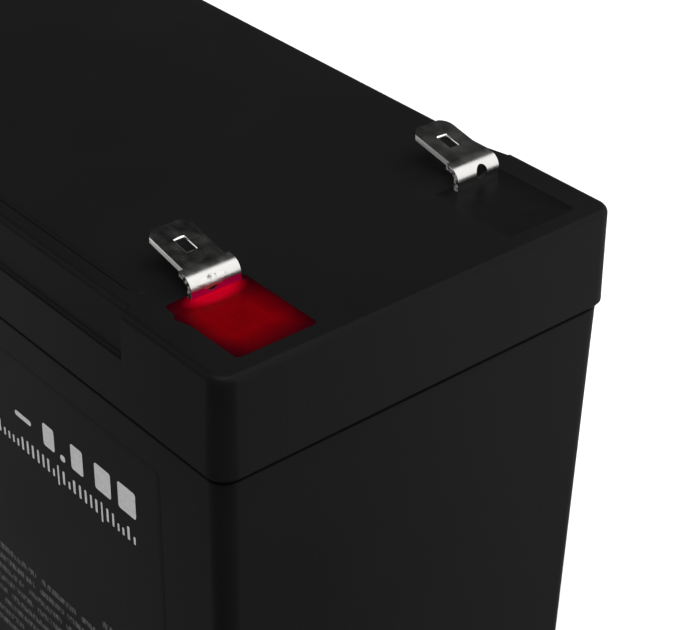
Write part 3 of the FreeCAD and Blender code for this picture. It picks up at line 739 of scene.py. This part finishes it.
def add_ring(x, y, radius, width, height, count, verts, faces):
    """Adds a flat raised ring to the lists."""
    base = len(verts)
    high = DECK + height
    section = ((radius - width / 2, MARK_FOOT), (radius - width / 6, high),
               (radius + width / 6, high), (radius + width / 2, MARK_FOOT))
    for r, z in section:
        verts.extend((x + r * cos(tau * i / count), y + r * sin(tau * i / count), z)
                     for i in range(count))
    for k in range(len(section)):
        for i in range(count):
            j, m = (i + 1) % count, (k + 1) % len(section)
            faces.append((base + k * count + i, base + m * count + i,
                          base + m * count + j, base + k * count + j))


def polarity_mark(name, x, y, turns):
    """A circle with a bar in it for each turn. Crossing bars differ in height, so that no two
    faces coincide."""
    verts, faces = [], []
    add_ring(x, y, 3.3 * MM, 0.3 * MM, 0.006 * MM, 72, verts, faces)
    for turn in turns:
        add_bar(x, y, turn, (0.02 + 0.002 * turn) * MM, verts, faces)
    show(name, new_mesh(name, verts, faces), plastic)


def ejector_marks(name, places):
    """Faint rings that the mould's ejector pins leave."""
    verts, faces = [], []
    for x, y, radius in places:
        add_ring(x, y, radius, 0.2 * MM, 0.008 * MM, 48, verts, faces)
    show(name, new_mesh(name, verts, faces), plastic)


# Print on the label: plain bars, in the label's tilted plane

def label_print(name, bars, material, corner):
    """Bars of ink from (left, right, low, high). All sizes are in millimetres."""
    verts, faces = [], []
    for left, right, bottom, top in bars:
        radius = min(corner, (top - bottom) / 2.01, (right - left) / 2.01)
        outline = rounded_rectangle(left, right, bottom, top, radius, 3)
        base = len(verts)
        for proud in (-0.005, 0.02):
            verts.extend((x * MM, label_face(z * MM) - FILM_PROUD - proud * MM, z * MM)
                         for x, z in outline)
        faces.extend(stacked_faces(len(outline), 2, base))
    show(name, new_mesh(name, verts, faces), material)


def middle_strokes():
    """A line of uneven upright strokes, three of them as tall as a divider."""
    dividers = (38.9, 48.9, 24.5)
    strokes = []
    x = 11.6
    while x < 57.0:
        uneven = 0.5 + 0.5 * noise.noise(Vector((x * 1.9, 0.3, 0.7)))
        if any(abs(x - divider) < 0.45 for divider in dividers):
            strokes.append((x, x + 0.34, 58.7, 61.9))
        else:
            strokes.append((x, x + 0.3 + 0.25 * uneven, 59.5, 60.7 + 0.9 * (uneven > 0.4)))
        x += 0.9 + 0.6 * uneven
    return strokes


# Materials

TIN = COLORS["tin_plate"]
CASE = (COLORS["case_plastic"][0] * 0.43,) * 3

plastic = grained("case plastic", CASE, 0.38, 0.03, dusty=True)
panel_plastic = grained("cover plastic", CASE, 0.42, 0.03, grain=2800.0, dusty=True)
rubber = grained("valve rubber", COLORS["valve_rubber"], 0.7, 0.2, grain=2000.0)
# Painted light: the glue is painted lighter than the case, to lift the shade in the joint line.
glue = grained("bond glue with painted light", scaled(CASE, 1.8), 0.5, 0.03, grain=900.0)
film_black = grained("label film", CASE, 0.36, 0.03, grain=1800.0, depth=0.000006,
                     contrast=0.05, dusty=True)
lead = grained("cast lead", COLORS["lead"], 0.55, 0.5, grain=1500.0, depth=0.00004, metallic=1.0)
brown_paste = grained("positive paste", COLORS["positive_plate"], 0.85, 0.3, grain=1400.0,
                      depth=0.00008, contrast=0.25)
grey_paste = grained("negative paste", COLORS["negative_plate"], 0.8, 0.3, grain=1400.0,
                     depth=0.00008, contrast=0.25)
mat = fibrous("glass mat", COLORS["glass_mat"])
tin = plated("tin plate", TIN)
cut_tin = grained("cut tin", scaled(TIN, 1.1), 0.4, 0.5, grain=5200.0, depth=0.00004,
                  contrast=0.25, metallic=0.35)
bent_side = mottled("bent side", scaled(TIN, 0.04), TIN, 1900.0, 0.4, 0.46)
# Painted shade: the eye's walls are nearly black tin, for the shade inside the hole.
shaded_eye_wall = grained("eye wall with painted shade", scaled(TIN, 0.02), 0.5, 0.1)
solder = mottled("solder", scaled(TIN, 0.1), scaled(TIN, 0.55), 900.0, 1.0, 0.34)
# Painted reflection: the leg's outer face just above the deck is coloured by the epoxy that it
# reflects, red tin for the red epoxy and dark tin for the black.
painted_leg_reflection = {
    "positive": grained("leg with painted red reflection", (0.34, 0.0, 0.05), 0.25, 0.1, grain=900.0,
                        metallic=0.4),
    "negative": grained("leg with painted dark reflection", scaled(TIN, 0.5), 0.18, 0.5, grain=900.0,
                        metallic=1.0),
}
red = epoxy("red epoxy", "positive", (0.006, 0, 0.002), (0.16, 0, 0.002), (0.36, 0, 0.01),
            0.3, 0.01, 0.2)
black = epoxy("black epoxy", "negative", scaled(CASE, 0.8), scaled(CASE, 0.95),
              scaled(CASE, 0.95), 0.0, 0.014, 0.28)
ink = printed("label ink", (0.66, 0.66, 0.66))
fine_ink = small_print("small label ink", CASE, (0.13, 0.13, 0.13))

SLOT_MATERIALS = {
    "case_plastic": plastic, "glue": glue, "label_film": film_black, "valve_rubber": rubber,
    "tin_plate": tin, "red_potting": red, "black_potting": black, "lead": lead,
    "positive_plate": brown_paste, "negative_plate": grey_paste, "glass_mat": mat,
}
for subpart in record["subparts"]:
    shown = nodes[subpart["node"]].data.materials
    shown.clear()
    shown.append(SLOT_MATERIALS[subpart["material_slot"]])


# The battery

container_skin()
lid_skin()
label_skin()
cover_skin()
terminal_skin("positive")
terminal_skin("negative")
potting_skin("positive", red, 0.35)
potting_skin("negative", black, 0.02)

OVERFLOW = ((60.2, -27.3), (60.7, -27.55), (61.05, -27.9), (61.4, -28.07), (61.95, -27.95),
            (62.6, -27.75), (63.4, -27.5), (63.9, -27.3), (62.8, -26.9), (61.2, -26.9))
film("positive_overflow", rounded_outline([(x * MM, y * MM) for x, y in OVERFLOW]), 0.03 * MM,
     red)

polarity_mark("plus_mark", 65.5 * MM, -8.8 * MM, (0, pi / 2))
polarity_mark("minus_mark", 65.7 * MM, 8.5 * MM, (pi / 2,))
ejector_marks("ejector_marks", [(61.9 * MM, 1.2 * MM, 0.9 * MM), (-66 * MM, 22 * MM, 1.6 * MM),
                                (-66 * MM, -22 * MM, 1.6 * MM)])

LARGE_BARS = [
    (-57.0, -52.4, 62.6, 68.2), (-51.0, -46.4, 62.6, 68.2), (-45.0, -36.0, 62.6, 68.2),
    (11.8, 14.8, 63.5, 67.4), (16.2, 19.2, 63.5, 67.4), (20.8, 24.4, 63.5, 67.4),
    (29.6, 33.5, 64.7, 65.5), (36.4, 39.0, 63.6, 67.2), (40.3, 41.4, 63.3, 64.3),
    (42.9, 45.6, 63.5, 67.5), (48.3, 51.8, 63.6, 67.7), (53.4, 57.2, 63.7, 67.8),
]
ROW_PITCH = 2.16
ROW_LOW, ROW_HIGH = 36.9, 37.9
ROWS = [
    ((-57, -44), (-42.8, -31), (-29.6, -12), (-10.6, 3), (4.4, 17), (18.2, 31.1), (32.4, 41.1),
     (42.4, 53.5)),
    ((-57, -49), (-47.6, -30), (-28.8, -14), (-12.8, -2), (-0.6, 12), (13.4, 30.6), (31.8, 37.9),
     (38.6, 49.5), (50.6, 57)),
    ((-57, -40), (-38.6, -27), (-25.4, -6), (-4.8, 9), (10.2, 27.4), (28.7, 37.1), (38.2, 50.2)),
    ((-57, -51), (-49.6, -33), (-31.8, -20), (-18.6, 1), (2.4, 15), (16.2, 29.6), (30.7, 44.2),
     (45.3, 57)),
    ((-57, -43), (-41.8, -25), (-23.8, -11), (-9.8, 4), (5.2, 22.4), (23.6, 36.2), (37.4, 51.5)),
    ((-57, -46), (-44.8, -30), (-28.6, -9), (-7.8, 6), (7.2, 20), (21.4, 33.5), (34.7, 46.4),
     (47.6, 57)),
    ((-57, -38), (-36.8, -22), (-20.6, -8), (-6.8, 10), (11.4, 26.2), (27.4, 40.4), (41.6, 48)),
    ((-57, -48), (-46.8, -29), (-27.8, -13), (-11.6, 0.4), (1.8, 18), (19.2, 31.8)),
]
LONE_BAR = (47.7, 57.0, 39.55, 40.75)
label_print("large_print", LARGE_BARS, ink, 0.4)
label_print("middle_print", middle_strokes(), ink, 0.12)
label_print("small_print", [
    (left, right, ROW_LOW - ROW_PITCH * row, ROW_HIGH - ROW_PITCH * row)
    for row, words in enumerate(ROWS) for left, right in words] + [LONE_BAR], fine_ink, 0.3)

leg_low, leg_high = box_of("positive_terminal")
solder_fill("positive_eye_solder", leg_low.x + AXIS_REACH,
            (leg_low.y + leg_high.y) / 2 - 0.5 * MM, 2.2 * MM, 0.82 * MM)


# Camera, light and floor

VIEW_PLACE = Vector((0.2111406, -0.1346984, 0.2116725))
VIEW_RIGHT = Vector((0.65104432, 0.75874652, 0.02109538))
VIEW_UP = Vector((-0.41947964, 0.33649503, 0.84309426))
VIEW_LENS = 99.89


def make_camera():
    data = bpy.data.cameras.new("camera")
    data.sensor_width = 36
    data.lens = VIEW_LENS
    data.clip_start = 0.01
    camera = add_object("camera", data)
    turn = Matrix((VIEW_RIGHT, VIEW_UP, VIEW_RIGHT.cross(VIEW_UP))).transposed()
    camera.matrix_world = Matrix.Translation(VIEW_PLACE) @ turn.to_4x4()
    bpy.context.scene.camera = camera


def soft_light(name, place, aim, size, power):
    data = bpy.data.lights.new(name, "AREA")
    data.shape = "RECTANGLE"
    data.size, data.size_y = size
    data.energy = power
    light = add_object(name, data)
    light.location = place
    light.rotation_euler = (Vector(aim) - Vector(place)).to_track_quat("-Z", "Y").to_euler()
    light.visible_camera = False


def glow(tree, heading, towards, start, end, strength):
    """Light from one side of the studio: nothing at the angle whose cosine is start, strength
    from the one whose cosine is end."""
    product = tree.nodes.new("ShaderNodeVectorMath")
    product.operation = "DOT_PRODUCT"
    product.inputs[1].default_value = Vector(towards).normalized()
    tree.links.new(heading, product.inputs[0])
    return spread(tree, product.outputs["Value"], 0.0, strength, start, end)


def make_world():
    """A dim studio: a white wall behind the object on its right, a paler one on its left, and
    a dark ceiling."""
    world = bpy.data.worlds.new("studio")
    bpy.context.scene.world = world
    world.use_nodes = True
    tree = world.node_tree
    background = next(n for n in tree.nodes if n.type == "BACKGROUND")
    heading = tree.nodes.new("ShaderNodeTexCoord").outputs["Generated"]
    height = separated(tree, heading)["Z"]
    below_ceiling = spread(tree, height, 1.0, 0.05, 0.53, 0.64)
    above_floor = spread(tree, height, 0.4, 1.0, -0.8, -0.45)
    walls = combined(tree, "ADD", spread(tree, height, 0.74, 0.04, -0.1, 0.1),
                     glow(tree, heading, (-0.5, 0.78, 0.37), 0.8, 0.97, 0.19))
    light = combined(tree, "MULTIPLY", combined(tree, "MULTIPLY", below_ceiling, above_floor),
                     walls)
    for towards, start, end, strength in (((0.58, 0.6, 0.55), 0.66, 0.8, 2.3),
                                          ((0.66, 0.7, -0.26), 0.87, 0.97, 2.25)):
        light = combined(tree, "MAXIMUM", light,
                         glow(tree, heading, towards, start, end, strength))
    tree.links.new(light, background.inputs["Color"])
    background.inputs["Strength"].default_value = 1.0


def make_floor():
    reach = 3.0
    mesh = new_mesh("floor", [(-reach, -reach, 0), (reach, -reach, 0), (reach, reach, 0),
                              (-reach, reach, 0)], [(0, 1, 2, 3)])
    floor = add_object("floor", mesh)
    material, _, shader = new_material("pale floor")
    shader.inputs["Base Color"].default_value = (0.93, 0.93, 0.93, 1)
    shader.inputs["Roughness"].default_value = 0.7
    mesh.materials.append(material)
    floor.visible_glossy = False
    floor.visible_diffuse = False


make_camera()
make_world()
make_floor()
soft_light("key", (0.3, -0.35, 1.55), (0, 0, 0.05), (1.4, 1.2), 27)
soft_light("left", (-0.56, -0.46, 0.46), (0, 0, 0.09), (0.6, 0.5), 1.3)

bpy.context.scene.view_settings.view_transform = "Standard"
